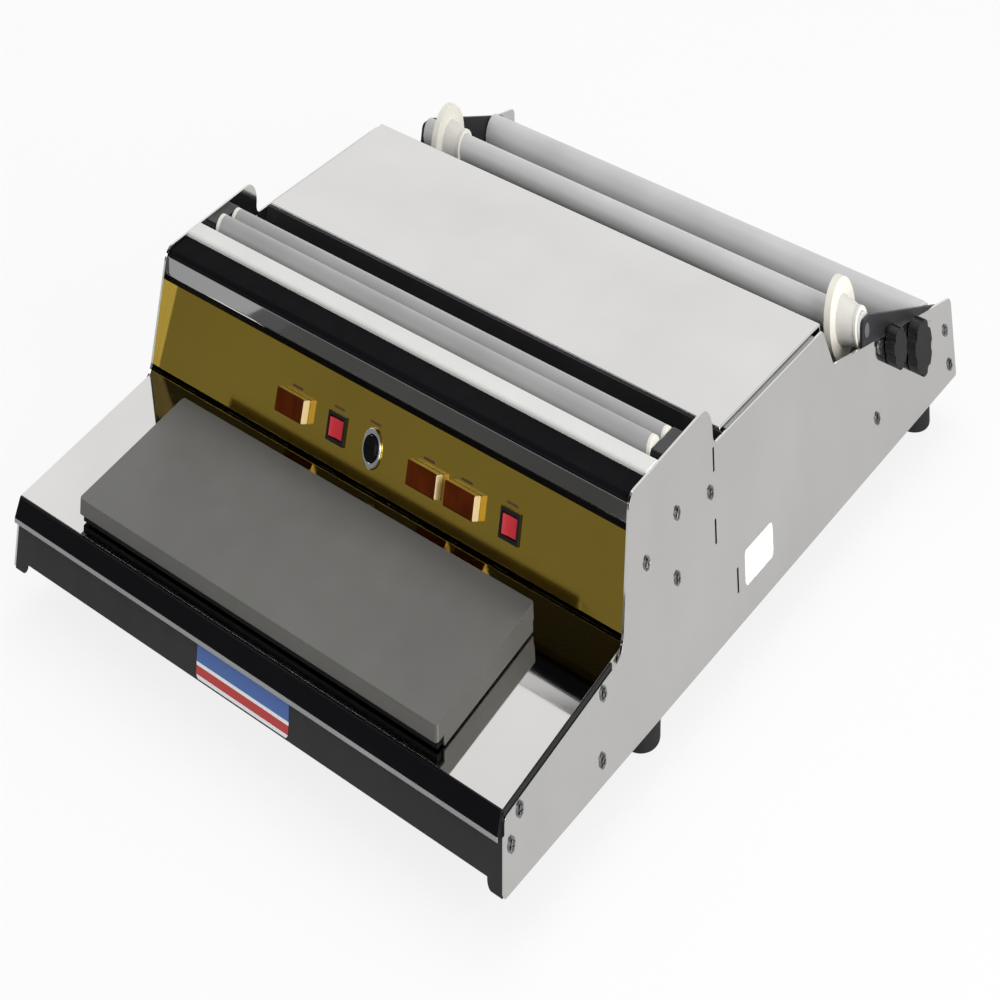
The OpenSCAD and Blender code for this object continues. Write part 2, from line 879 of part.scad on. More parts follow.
// Bars that carry the shelf along both side plates
module shelf_rails() {
  top = shelf_top - sheet_t;
  color("dimgray") place() for (s = [-1, 1])
    translate([s * (half_in - rail_w / 2), 0, 0])
      box([-rail_w / 2, shelf_y + sheet_t + rail_gap, top - rail_w],
          [rail_w / 2, bulkhead_y - sheet_t - rail_gap, top]);
}

// Wall between the electrical bay and the film cradle
module bulkhead() {
  y0 = bulkhead_y - sheet_t;
  foot = half_in - bulkhead_foot_gap;
  head = half_in - bulkhead_return;
  seam = pan_flange_h + air;
  color("darkgray") place() {
    box([-half_in, y0, seam], [half_in, bulkhead_y, bulkhead_top]);
    box([-foot, y0, pan_rise + sheet_t], [foot, bulkhead_y, seam]);
    box([-head, bulkhead_y - bulkhead_return, bulkhead_top],
        [head, bulkhead_y, shelf_top - sheet_t]);
  }
}

module rear_panel() {
  y0 = rear_y - sheet_t;
  color("silver") place() difference() {
    union() {
      box([-half_in, y0, 0], [half_in, rear_y, rear_top]);
      box([-half_in, y0 - rear_return, rear_top - sheet_t], [half_in, y0, rear_top]);
      for (s = [-1, 1]) {
        translate([s * (half_in - sheet_t / 2), 0, 0])
          box([-sheet_t / 2, y0 - flange, pan_rise + sheet_t],
              [sheet_t / 2, y0, rear_flange_top]);
      }
    }
    screw_bores(rear_screws);
    translate([gland_x, rear_y, gland_z]) rotate([90, 0, 0])
      cylinder(r = lead_dia / 2 + gland_wall, h = far, center = true);
  }
}

// Grommet for the mains lead
module cord_gland() {
  neck_r = lead_dia / 2 + gland_wall;
  color("#161618") place() translate([gland_x, rear_y, gland_z]) rotate([-90, 0, 0])
    difference() {
      union() {
        cylinder(r = neck_r + gland_rim, h = gland_out);
        translate([0, 0, -sheet_t]) cylinder(r = neck_r, h = sheet_t);
        translate([0, 0, -sheet_t - gland_in]) cylinder(r = neck_r + gland_nut, h = gland_in);
      }
      cylinder(d = lead_dia, h = far, center = true);
    }
}

module cradle_bracket(side) {
  ear = bracket_ear;
  color("darkgray") place() difference() {
    across(bracket_t, side * (half_in - bracket_t / 2)) polygon(rounded([
      [bracket_y0, tail_z(bracket_y0) - bracket_low, bracket_r],
      [support_y - ear, support_z + ear, bracket_ear_r],
      [support_y + ear, support_z + ear, bracket_ear_r],
      [bracket_y1, tail_z(bracket_y1) - bracket_edge, bracket_r],
      [bracket_y1, cradle_z - bracket_below, bracket_r],
      [cradle_y - bracket_heel, cradle_z - bracket_below, bracket_r]
    ]));
    for (spot = [[support_y, support_z], [cradle_y, cradle_z]])
      cross_bar(spot, shaft_dia / 2 + hole_clear, far);
    knob_bores();
    screw_bores([bracket_screw]);
  }
}

module support_shaft() {
  color("silver") place() cross_bar([support_y, support_z], shaft_dia / 2, 2 * half_in);
}

module cradle_shaft() {
  color("silver") place() cross_bar([cradle_y, cradle_z], shaft_dia / 2, body_w);
}

// Tube with plugged ends that run on the shaft
module shaft_roller(y, z, dia) {
  hollow = 2 * (roller_end - roller_plug);
  translate([0, y, z]) difference() {
    cross_bar([0, 0], dia / 2, 2 * roller_end);
    cross_bar([0, 0], dia / 2 - roller_wall, hollow);
    cross_bar([0, 0], shaft_dia / 2 + run_fit, far);
  }
}

module support_roller() {
  color("#b4b4b2") place() shaft_roller(support_y, support_z, support_dia);
}

module cradle_roller() {
  color("#b0b1b2") place() shaft_roller(cradle_y, cradle_z, cradle_dia);
}

// Disc that holds the end of the film roll; its tapered hub ends in a collar to the right
module film_stop(x) {
  bore = support_dia / 2 + slide_fit;
  color("#e6e1d2") place() translate([x, support_y, support_z]) rotate([0, 90, 0])
    difference() {
      union() {
        cylinder(d = stop_dia, h = stop_t);
        translate([0, 0, stop_t])
          cylinder(r1 = bore + stop_hub_root, r2 = bore + stop_hub_tip, h = stop_hub);
        translate([0, 0, stop_t + stop_hub - stop_collar_t])
          cylinder(r = bore + stop_collar, h = stop_collar_t);
      }
      cylinder(r = bore, h = far, center = true);
    }
}

// Fluted hand knob with its stud through plate and bracket
module hand_knob(side, y, z, dia) {
  stud = plate_t + bracket_t + knob_gap;
  flute_r = dia * knob_flute;
  color("#121214") place() translate([side * (body_w / 2 + knob_gap), y, z])
    rotate([0, side * 90, 0]) {
      difference() {
        cylinder(d = dia, h = knob_t);
        for (i = [1:knob_flutes]) rotate((i + 0.5) * 360 / knob_flutes)
          translate([dia / 2 + flute_r / 2, 0, 0]) cylinder(r = flute_r, h = far, center = true);
      }
      translate([0, 0, -stud]) cylinder(d = stud_dia, h = stud + knob_gap);
    }
}

module side_screws() {
  color("gray") place() for (side = [-1, 1], s = screw_spots)
    translate([side * body_w / 2, s[0], s[1]]) rotate([0, side * 90, 0]) {
      cylinder(d = screw_head_dia, h = screw_head_h);
      translate([0, 0, -plate_t - sheet_t]) cylinder(d = screw_dia, h = plate_t + sheet_t);
    }
}

// Spacers between the side plates, tapped for the screws
module tie_rods() {
  color("darkgray") place() difference() {
    for (s = tie_spots) cross_bar(s, tie_dia / 2, 2 * half_in);
    for (side = [-1, 1], s = tie_spots)
      cross_bar(s, screw_dia / 2 + hole_clear, 2 * tap_l, side * half_in);
  }
}

module feet() {
  color("#151515") for (side = [-1, 1], y = [foot_front, body_d - foot_rear])
    translate([side * (body_w / 2 - foot_side), y + (lip_out - body_d) / 2, 0])
      cylinder(d1 = foot_dia - foot_taper, d2 = foot_dia, h = foot_h + pan_rise);
}

// Supplies the cutter rod with low voltage
module transformer() {
  module standing(size, z) {
    translate([-size[0] / 2, -size[1] / 2, z]) cube(size);
  }
  y = (shelf_y + bulkhead_y) / 2;
  color("saddlebrown") place() translate([body_w / 2 - transformer_side, y, pan_rise + sheet_t]) {
    standing(shoe_size, 0);
    standing(core_size, shoe_size[2]);
    standing(winding_size, winding_rise);
  }
}

module rating_label() {
  y0 = tower_back + label_set;
  color("white") place()
    box([body_w / 2, y0, label_z], [body_w / 2 + label_t, y0 + label_w, label_z + label_h]);
}

module apron_label() {
  color("lightsteelblue") place() translate([apron_label_x, 0, 0])
    box([-apron_label_w / 2, -label_t, pan_rise + apron_label_low],
        [apron_label_w / 2, 0, deck_z(0) - lip_h - apron_label_high]);
}

side_plate(-1);  // side_plate_left
side_plate(1);  // side_plate_right
base_pan();
front_apron();
front_lip();
deck_sheet();
plate_standoffs();
hot_plate_tray();
heater_mat();
hot_plate_cover();
thermal_cutout();
control_panel();
pilot_lens(0);  // pilot_lens_left
pilot_lens(1);  // pilot_lens_middle
pilot_lens(2);  // pilot_lens_right
lamp_housings();
switch_frame(0);  // switch_frame_left
switch_frame(1);  // switch_frame_right
rocker(0);  // rocker_left
rocker(1);  // rocker_right
fuse_holder();
fuse_cap();
nose_band();
nose_top();
cutter_strip();
cutter_rod();
guide_block(-1);  // guide_block_left
guide_block(1);  // guide_block_right
guide_shafts();
guide_roller(guide_front_y, guide_z);  // guide_roller_front
guide_roller(guide_rear_y, guide_rear_z);  // guide_roller_rear
guide_caps(guide_front_y, guide_z);  // guide_caps_front
guide_caps(guide_rear_y, guide_rear_z);  // guide_caps_rear
slot_channel();
shelf_sheet();
shelf_rails();
bulkhead();
rear_panel();
cord_gland();
cradle_bracket(-1);  // cradle_bracket_left
cradle_bracket(1);  // cradle_bracket_right
support_shaft();
support_roller();
film_stop(-stop_x - stop_t);  // film_stop_left
film_stop(stop_x);  // film_stop_right
cradle_shaft();
cradle_roller();
hand_knob(-1, knob_a_y, knob_a_z, knob_a_dia);  // knob_front_left
hand_knob(1, knob_a_y, knob_a_z, knob_a_dia);  // knob_front_right
hand_knob(-1, knob_b_y, knob_b_z, knob_b_dia);  // knob_rear_left
hand_knob(1, knob_b_y, knob_b_z, knob_b_dia);  // knob_rear_right
side_screws();
tie_rods();
feet();
transformer();
rating_label();
apron_label();
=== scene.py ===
"""Looks of a tabletop film wrapper: softened edges, finishes, small fittings and the studio."""

import json
import math

import bmesh
import bpy
from mathutils import Euler, Matrix, Vector

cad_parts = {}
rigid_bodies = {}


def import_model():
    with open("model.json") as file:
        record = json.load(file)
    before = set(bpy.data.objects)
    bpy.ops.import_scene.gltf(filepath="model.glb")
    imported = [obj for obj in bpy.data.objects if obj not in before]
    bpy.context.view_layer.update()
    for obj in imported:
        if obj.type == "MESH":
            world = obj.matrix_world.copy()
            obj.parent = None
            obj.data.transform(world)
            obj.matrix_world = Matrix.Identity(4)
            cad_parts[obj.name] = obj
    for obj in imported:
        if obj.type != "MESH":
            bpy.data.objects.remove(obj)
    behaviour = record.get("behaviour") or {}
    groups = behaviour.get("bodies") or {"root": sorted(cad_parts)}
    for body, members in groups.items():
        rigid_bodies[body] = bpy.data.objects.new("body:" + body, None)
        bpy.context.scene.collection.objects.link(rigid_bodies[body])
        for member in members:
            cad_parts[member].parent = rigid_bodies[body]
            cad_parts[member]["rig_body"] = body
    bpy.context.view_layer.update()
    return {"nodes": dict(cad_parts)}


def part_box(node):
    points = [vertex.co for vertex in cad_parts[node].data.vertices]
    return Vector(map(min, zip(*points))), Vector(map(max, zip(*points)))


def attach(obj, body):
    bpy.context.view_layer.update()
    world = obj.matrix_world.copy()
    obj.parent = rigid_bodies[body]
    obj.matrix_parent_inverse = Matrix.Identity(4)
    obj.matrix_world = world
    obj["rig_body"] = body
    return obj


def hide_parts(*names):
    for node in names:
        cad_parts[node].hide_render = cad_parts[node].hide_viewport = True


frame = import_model()
NODES = frame["nodes"]

bl_info = {
    "name": "Film wrapper looks",
    "version": (1, 0, 0),
    "blender": (4, 5, 0),
    "location": "3D View > Sidebar > Film wrapper",
    "description": "Dresses the solids of a hand film wrapper with edges, finishes and a studio",
    "category": "Object",
}

MM = 0.001
MERGE = 0.002 * MM
SMOOTH_ANGLE = math.radians(40)
SHARP_ANGLE = math.radians(28)
FLAT_ANGLE = math.radians(0.5)
EDGE_SEGMENTS = 3

# Scales of the noise in the finishes, in waves per metre
STAIN_SCALE = 9.0
DRIFT_SCALE = 14.0
POLISH_SCALE = 24.0
SKIN_SCALE = 60.0
GRAIN_SCALE = 900.0
WEAVE_SCALE = 330.0

# Stretch of a grain: even, or drawn along the plates, the shelf and the panel
EVEN = (1.0, 1.0, 1.0)
PLATE_GRAIN = (1.0, 0.03, 1.0)
SHELF_GRAIN = (0.04, 1.0, 1.0)
PANEL_GRAIN = (0.03, 1.0, 1.0)

ACROSS = Vector((1.0, 0.0, 0.0))
FORWARD = Vector((0.0, -1.0, 0.0))
UP = Vector((0.0, 0.0, 1.0))


def length_prop(name, description, default_mm):
    """A length of the object, given in millimetres."""
    return bpy.props.FloatProperty(
        name=name, description=description, default=default_mm * MM, min=0.0, unit="LENGTH"
    )


def colour_prop(name, description, default):
    """A linear colour of the object."""
    return bpy.props.FloatVectorProperty(
        name=name, description=description, default=default, min=0.0, max=1.0, subtype="COLOR"
    )


def angle_prop(name, description, degrees):
    """An angle of the studio, given in degrees."""
    return bpy.props.FloatProperty(
        name=name, description=description, default=math.radians(degrees), unit="ROTATION"
    )


class FilmWrapperSizes(bpy.types.PropertyGroup):
    """Edge rounds and small fittings"""

    plate_round: length_prop("Plate edge", "Round on the edges of the side plates", 0.4)
    sheet_round: length_prop("Sheet edge", "Round on the edges of the folded sheets", 0.5)
    deck_round: length_prop("Deck fold", "Round where the deck folds down", 1.2)
    cover_round: length_prop("Hot plate edge", "Round on the edges of the heated cover", 1.6)
    moulded_round: length_prop("Moulded edge", "Round on the edges of moulded parts", 0.7)
    knob_round: length_prop("Knob edge", "Round on the edges of the hand knobs", 1.6)
    roller_round: length_prop("Roller edge", "Round on the ends of the rollers", 0.5)
    stop_round: length_prop("Film stop edge", "Round on the edges of the film stops", 0.9)
    foot_round: length_prop("Foot edge", "Round on the edges of the feet", 1.8)
    label_round: length_prop("Label corner", "Round on the corners of the labels", 3.0)
    lip_trim: length_prop("Lip trim", "Height of the bare edge under the front lip", 2.2)
    # The bead beside the deck is a dark strip of painted shade for the gap at the deck's edge
    seal_width: length_prop("Seal width", "Width of the bead beside the deck", 1.2)
    seal_height: length_prop("Seal height", "Height of the bead beside the deck", 2.3)
    seal_drop: length_prop("Seal drop", "Depth of the bead below the deck's face", 0.7)
    seal_length: length_prop("Seal length", "Length of the bead beside the deck", 137.0)
    legend_bar: length_prop("Legend bar", "Height of a printed bar on the panel", 1.2)
    legend_length: length_prop("Legend length", "Length of a printed bar on the panel", 12.0)
    legend_film: length_prop("Legend film", "Thickness of the printed film", 0.05)
    legend_gap: length_prop("Legend gap", "Gap between a control and its printed bar", 4.0)
    lens_groove: length_prop("Lens groove", "Depth of the grooves across a pilot lens", 0.4)
    screw_dome: length_prop("Screw dome", "Fall of a screw head towards its rim", 0.9)
    screw_cross: length_prop("Screw cross", "Depth of the cross in a screw head", 1.0)


class FilmWrapperColours(bpy.types.PropertyGroup):
    """Colours of the finishes"""

    steel: colour_prop("Polished steel", "Deck, plates and shelf", (0.69, 0.68, 0.665))
    zinc: colour_prop("Zinc", "Plated inner sheets and bars", (0.42, 0.42, 0.43))
    # Real black of the apron; on the film slot, pan, bulkhead and brackets it is painted shade
    # inside the body
    black: colour_prop("Black paint", "Apron, film slot, pan and brackets", (0.018, 0.018, 0.02))
    gloss: colour_prop("Gloss black", "Front lip and fuse cap", (0.004, 0.004, 0.005))
    nose: colour_prop("Nose band", "Chromed band above the panel", (0.42, 0.42, 0.425))
    # Besides the black top of the nose, this colour paints shade on the band's underside
    nose_top: colour_prop("Nose top", "Black top and underside of the nose", (0.006, 0.006, 0.007))
    bright: colour_prop("Bright metal", "Ring of the fuse holder", (0.8, 0.79, 0.77))
    plastic: colour_prop("Black plastic", "Knobs and switch frames", (0.006, 0.006, 0.007))
    gold: colour_prop("Gold", "Anodised control panel", (0.56, 0.395, 0.065))
    coating: colour_prop("Hot plate", "Coated cloth on the hot plate", (0.085, 0.083, 0.075))
    # Near-black of the tray is painted shade for the gap under the front of the hot plate
    tray: colour_prop("Tray", "Black tray below the hot plate", (0.004, 0.004, 0.004))
    trim: colour_prop("Lip trim", "Bare lower edge of the front lip", (0.26, 0.26, 0.265))
    lens: colour_prop("Pilot lens", "Front of a pilot lens", (0.07, 0.012, 0.0015))
    # Pale cream of the lens's right end is a painted highlight, not the lens's own colour
    lens_end: colour_prop("Lens end", "Bright end of a pilot lens", (0.75, 0.6, 0.33))
    red: colour_prop("Rocker", "Switch rockers", (0.5, 0.018, 0.03))
    strip: colour_prop("Cutter strip", "White strip of the cutter", (0.69, 0.69, 0.67))
    guide: colour_prop("Guide roller", "Rollers beside the cutter", (0.33, 0.335, 0.33))
    roller: colour_prop("Cradle roller", "Rollers under the film", (0.56, 0.565, 0.56))
    cream: colour_prop("Cream plastic", "Film stops and roller caps", (0.76, 0.735, 0.66))
    hub: colour_prop("Stop hub", "Hubs of the film stops", (0.64, 0.625, 0.58))
    screw: colour_prop("Screw", "Screws of the side plates", (0.3, 0.3, 0.305))
    legend: colour_prop("Legend", "Printed bars on the panel", (0.09, 0.03, 0.01))
    # On the beads beside the deck this rubber black is painted shade
    rubber: colour_prop("Rubber", "Feet, gland and deck seals", (0.012, 0.012, 0.012))
    copper: colour_prop("Copper", "Heating mat, rod and transformer", (0.3, 0.12, 0.05))
    label_white: colour_prop("Label white", "Blank label on the side", (0.78, 0.78, 0.78))
    label_pale: colour_prop("Label pale", "Lines of the front label", (0.75, 0.76, 0.78))
    label_blue: colour_prop("Label blue", "Upper field of the front label", (0.05, 0.12, 0.36))
    label_red: colour_prop("Label red", "Lower field of the front label", (0.45, 0.03, 0.03))


class FilmWrapperStudio(bpy.types.PropertyGroup):
    """Camera and light"""

    sight_azimuth: angle_prop("Sight azimuth", "Camera's turn to the right of the front", 38.166)
    sight_elevation: angle_prop("Sight elevation", "Camera's height angle", 23.227)
    plane_tilt: angle_prop("Picture tilt", "Turn of the picture plane about the x axis", 124.286)
    plane_roll: angle_prop("Picture roll", "Turn of the picture plane about the y axis", 0.366)
    plane_turn: angle_prop("Picture turn", "Turn of the picture plane about the z axis", 37.435)
    camera_place: bpy.props.FloatVectorProperty(
        name="Camera place",
        description="Where the camera stands",
        default=(1.9115, -2.4429, 1.3363),
        subtype="XYZ",
        unit="LENGTH",
    )
    lens: bpy.props.FloatProperty(
        name="Lens", description="Focal length", default=136.37, unit="CAMERA"
    )
    key_power: bpy.props.FloatProperty(
        name="Key lamp", description="Power of the lamp on the right", default=60.0, unit="POWER"
    )
    top_power: bpy.props.FloatProperty(
        name="Top lamp", description="Power of the lamp overhead", default=10.0, unit="POWER"
    )
    soft_power: bpy.props.FloatProperty(
        name="Soft box", description="Power of the soft box on the left", default=4.0, unit="POWER"
    )
    sky_level: bpy.props.FloatProperty(
        name="Sky", description="Level of the even light from all round", default=0.72
    )
    card_level: bpy.props.FloatProperty(
        name="Dark card", description="Level of the dark card that bright metal shows", default=0.24
    )
    shade_level: bpy.props.FloatProperty(
        name="Shade", description="Level over the card that bright metal shows", default=0.015
    )
    ceiling_level: bpy.props.FloatProperty(
        name="Ceiling", description="Level of the ceiling that bright metal shows", default=0.25
    )
    floor_level: bpy.props.FloatProperty(
        name="Floor", description="Level of the floor that bright metal shows", default=0.66
    )


def sizes():
    return bpy.context.scene.film_wrapper_sizes


def colours():
    return bpy.context.scene.film_wrapper_colours


def studio():
    return bpy.context.scene.film_wrapper_studio


class Finish:
    """Node tree of one material, with short ways to add its grain, stains and bumps."""

    family = "looks_"
    # Range that most of a noise lies in
    calm = 0.3
    lively = 0.7

    def __init__(self, name):
        self.material = bpy.data.materials.new(self.family + name)
        self.material.use_nodes = True
        self.tree = self.material.node_tree
        self.shader = self.tree.nodes["Principled BSDF"]

    def node(self, kind, **values):
        made = self.tree.nodes.new(kind)
        for key, value in values.items():
            setattr(made, key, value)
        return made

    def link(self, a, b):
        self.tree.links.new(a, b)

    def set(self, **values):
        for key, value in values.items():
            socket = self.shader.inputs[key.replace("_", " ")]
            socket.default_value = (*value, 1.0) if hasattr(value, "__len__") else value

    def noise(self, scale, detail=2.0, stretch=EVEN):
        """Noise over Object coordinates, about 0 to 1."""
        place = self.node("ShaderNodeTexCoord")
        mapping = self.node("ShaderNodeMapping")
        mapping.inputs["Scale"].default_value = stretch
        texture = self.node("ShaderNodeTexNoise")
        texture.inputs["Scale"].default_value = scale
        texture.inputs["Detail"].default_value = detail
        self.link(place.outputs["Object"], mapping.inputs["Vector"])
        self.link(mapping.outputs["Vector"], texture.inputs["Vector"])
        return texture.outputs["Fac"]

    def between(self, source, low, high, start=calm, end=lively):
        """The source's range from start to end, laid from low to high."""
        spread = self.node("ShaderNodeMapRange")
        spread.inputs["From Min"].default_value = start
        spread.inputs["From Max"].default_value = end
        spread.inputs["To Min"].default_value = low
        spread.inputs["To Max"].default_value = high
        self.link(source, spread.inputs["Value"])
        return spread.outputs["Result"]

    def tint(self, source, colour, low, high):
        """Base colour that drifts from low to high times the given colour."""
        ramp = self.node("ShaderNodeValToRGB")
        first, last = ramp.color_ramp.elements
        first.position, last.position = self.calm, self.lively
        first.color = (*(c * low for c in colour), 1.0)
        last.color = (*(min(c * high, 1.0) for c in colour), 1.0)
        self.link(source, ramp.inputs["Fac"])
        self.link(ramp.outputs["Color"], self.shader.inputs["Base Color"])

    def rough(self, source, low, high):
        """Roughness that drifts from low to high."""
        self.link(self.between(source, low, high), self.shader.inputs["Roughness"])

    def bump(self, height, distance_mm, strength=1.0):
        """Bumps as high as the given distance."""
        bump = self.node("ShaderNodeBump")
        bump.inputs["Strength"].default_value = strength
        bump.inputs["Distance"].default_value = distance_mm * MM
        self.link(height, bump.inputs["Height"])
        self.link(bump.outputs["Normal"], self.shader.inputs["Normal"])


def metal(name, colour, rough, grain_mm=0.0, stretch=EVEN):
    """Metal with soft stains, a drifting polish and, where given, a drawn grain."""
    finish = Finish(name)
    finish.set(Metallic=1.0)
    finish.tint(finish.noise(STAIN_SCALE, 3.0), colour, low=0.95, high=1.03)
    finish.rough(finish.noise(POLISH_SCALE, 4.0, stretch), *rough)
    if grain_mm:
        finish.bump(finish.noise(GRAIN_SCALE, stretch=stretch), grain_mm)
    return finish.material


def mirror_steel():
    return metal("mirror_steel", colours().steel, (0.03, 0.06))


def polished_steel():
    return metal("polished_steel", colours().steel, (0.07, 0.12), 0.001, PLATE_GRAIN)


def screw_steel():
    return metal("screw_steel", colours().screw, (0.22, 0.34))


def satin_steel():
    return metal("satin_steel", colours().steel, (0.16, 0.22), 0.003, SHELF_GRAIN)


def zinc_steel():
    return metal("zinc_steel", colours().zinc, (0.34, 0.5), 0.006)


def bright_metal():
    return metal("bright_metal", colours().bright, (0.05, 0.1))


def nose_chrome():
    return metal("nose_chrome", colours().nose, (0.05, 0.1))


def gold_panel():
    return metal("gold_panel", colours().gold, (0.09, 0.14), 0.001, PANEL_GRAIN)


def coat(name, colour, rough, grain_mm, grain=GRAIN_SCALE, specular=0.5, drift=0.12):
    """Paint, plastic or rubber with a fine skin and a little drift in its tone."""
    finish = Finish(name)
    finish.set(Specular_IOR_Level=specular)
    finish.tint(finish.noise(DRIFT_SCALE, 3.0), colour, low=1.0 - drift, high=1.0 + drift)
    finish.rough(finish.noise(SKIN_SCALE, 3.0), *rough)
    finish.bump(finish.noise(grain), grain_mm)
    return finish.material


# Black paint of the apron, also painted shade on the sheets inside the body and the film slot
def black_paint():
    return coat("black_paint", colours().black, (0.38, 0.52), 0.03, 1400.0, specular=0.3)


def gloss_black():
    return coat("gloss_black", colours().gloss, (0.06, 0.12), 0.004, 300.0, specular=0.12)


# Black of the nose top, also used as painted shade on the nose band's underside
def nose_black():
    return coat("nose_black", colours().nose_top, (0.5, 0.6), 0.006, specular=0.01)


# Painted shade: the tray is near-black so the gap under the cover reads as shadow
def tray_paint():
    return coat("tray_paint", colours().tray, (0.4, 0.5), 0.01, 1200.0, specular=0.1)


def lip_trim():
    return coat("lip_trim", colours().trim, (0.3, 0.4), 0.004, 800.0)


def black_plastic():
    return coat("black_plastic", colours().plastic, (0.34, 0.46), 0.02, 1800.0, specular=0.3)


def rocker_plastic():
    return coat("rocker_plastic", colours().red, (0.18, 0.26), 0.006, 1500.0)


def strip_white():
    return coat("strip_white", colours().strip, (0.3, 0.42), 0.008, 700.0, drift=0.03)


def guide_grey():
    return coat("guide_grey", colours().guide, (0.3, 0.4), 0.006, 1300.0, drift=0.05)


def roller_grey():
    return coat("roller_grey", colours().roller, (0.3, 0.4), 0.006, 1300.0, drift=0.05)


def cream_plastic():
    return coat("cream_plastic", colours().cream, (0.3, 0.42), 0.008, 1200.0, drift=0.04)


def hub_grey():
    return coat("hub_grey", colours().hub, (0.3, 0.42), 0.008, 1200.0, drift=0.04)


def rubber():
    return coat("rubber", colours().rubber, (0.6, 0.75), 0.04, 1600.0, specular=0.3)


def copper_core():
    return coat("copper_core", colours().copper, (0.4, 0.55), 0.05, 500.0)


def label_white():
    return coat("label_white", colours().label_white, (0.3, 0.4), 0.004, drift=0.02)


def legend_ink():
    return coat("legend_ink", colours().legend, (0.4, 0.5), 0.002, drift=0.2)


def lens_amber():
    """Front of a lens: deep red-brown plastic, darker in some places than in others."""
    finish = Finish("lens_amber")
    finish.set(Specular_IOR_Level=0.04)
    finish.tint(finish.noise(scale=55.0), colours().lens, low=0.75, high=1.35)
    finish.rough(finish.noise(scale=90.0), low=0.12, high=0.2)
    return finish.material


# Right end of a lens: pale cream that paints the light caught by its end, a painted highlight
def lens_end():
    return coat("lens_end", colours().lens_end, (0.14, 0.22), 0.004, 500.0, drift=0.1)


def plate_cloth():
    """Coated glass cloth: a fine square weave under a smooth skin, with faint heat stains."""
    finish = Finish("plate_cloth")
    finish.set(Specular_IOR_Level=0.5)
    finish.tint(finish.noise(11.0, 4.0), colours().coating, low=0.93, high=1.06)
    finish.rough(finish.noise(40.0, 3.0), low=0.27, high=0.34)
    place = finish.node("ShaderNodeTexCoord")
    waves = []
    for turn in (0.0, math.pi / 2):
        mapping = finish.node("ShaderNodeMapping")
        mapping.inputs["Rotation"].default_value = (0.0, 0.0, turn)
        wave = finish.node("ShaderNodeTexWave")
        wave.inputs["Scale"].default_value = WEAVE_SCALE
        wave.inputs["Distortion"].default_value = 0.4
        finish.link(place.outputs["Object"], mapping.inputs["Vector"])
        finish.link(mapping.outputs["Vector"], wave.inputs["Vector"])
        waves.append(wave.outputs["Fac"])
    weave = finish.node("ShaderNodeMath", operation="MAXIMUM")
    finish.link(waves[0], weave.inputs[0])
    finish.link(waves[1], weave.inputs[1])
    finish.bump(weave.outputs[0], distance_mm=0.008, strength=0.5)
    return finish.material


def label_bands():
    """Front label: two flat fields, one over the other, with pale lines around them."""
    finish = Finish("label_bands")
    finish.set(Roughness=0.35)
    low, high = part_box("apron_label")
    place = finish.node("ShaderNodeTexCoord")
    split = finish.node("ShaderNodeSeparateXYZ")
    finish.link(place.outputs["Object"], split.inputs["Vector"])
    rise = finish.between(split.outputs["Z"], 0.0, 1.0, low.z, high.z)
    ramp = finish.node("ShaderNodeValToRGB")
    ramp.color_ramp.interpolation = "CONSTANT"
    red, blue, pale = colours().label_red, colours().label_blue, colours().label_pale
    bands = ((0.0, pale), (0.1, red), (0.34, pale), (0.44, blue), (0.9, pale))
    stops = ramp.color_ramp.elements
    while len(stops) < len(bands):
        stops.new(0.5)
    for stop, (at, colour) in zip(stops, bands):
        stop.position = at
        stop.color = (*colour, 1.0)
    finish.link(rise, ramp.inputs["Fac"])
    finish.link(ramp.outputs["Color"], finish.shader.inputs["Base Color"])
    finish.bump(finish.noise(GRAIN_SCALE), distance_mm=0.004)
    return finish.material


def material(maker):
    """The finish that a maker function makes, made once."""
    found = bpy.data.materials.get(Finish.family + maker.__name__)
    return found or maker()


def merged(node):
    """Copy of a CAD node's mesh with its triangles joined into clean faces."""
    shape = bmesh.new()
    shape.from_mesh(NODES[node].data)
    bmesh.ops.remove_doubles(shape, verts=shape.verts, dist=MERGE)
    bmesh.ops.dissolve_limit(
        shape,
        angle_limit=FLAT_ANGLE,
        verts=shape.verts,
        edges=shape.edges,
        use_dissolve_boundaries=False,
    )
    return shape


def sharp_edges(shape):
    """Edges at which two faces meet at a clear angle."""
    return [e for e in shape.edges if len(e.link_faces) == 2 and e.calc_face_angle() > SHARP_ANGLE]


def rounded_edges(shape, edges, width, segments=EDGE_SEGMENTS):
    """Rounds the edges of a shape; a width of zero leaves them sharp."""
    if edges and width > 0:
        bmesh.ops.bevel(
            shape,
            geom=edges,
            offset=width,
            offset_type="OFFSET",
            segments=segments,
            profile=0.5,
            affect="EDGES",
            clamp_overlap=True,
            material=-1,
        )


def piece_from(shape, name, *makers):
    """Object at the origin from a bmesh, shaded smooth up to its sharp edges."""
    for face in shape.faces:
        face.smooth = True
    mesh = bpy.data.meshes.new(name)
    shape.to_mesh(mesh)
    shape.free()
    mesh.set_sharp_from_angle(angle=SMOOTH_ANGLE)
    for maker in makers:
        mesh.materials.append(material(maker))
    piece = bpy.data.objects.new(name, mesh)
    bpy.context.scene.collection.objects.link(piece)
    weights = piece.modifiers.new("even_normals", "WEIGHTED_NORMAL")
    weights.keep_sharp = True
    return piece


def stand_for(piece, node):
    """The piece takes the node's place and body."""
    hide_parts(node)
    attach(piece, NODES[node]["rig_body"])


def soften(node, maker, width, segments=EDGE_SEGMENTS):
    """A node's own form with rounded edges and its finish."""
    shape = merged(node)
    rounded_edges(shape, sharp_edges(shape), width, segments)
    stand_for(piece_from(shape, node + "_skin", maker), node)


def paint(node, maker):
    """A node that stays as it is and takes a finish."""
    mesh = NODES[node].data
    mesh.materials.clear()
    mesh.materials.append(material(maker))


def largest_face(shape, way):
    """The widest face of a shape that looks along a direction."""
    return max(shape.faces, key=lambda f: f.normal.dot(way) * f.calc_area())


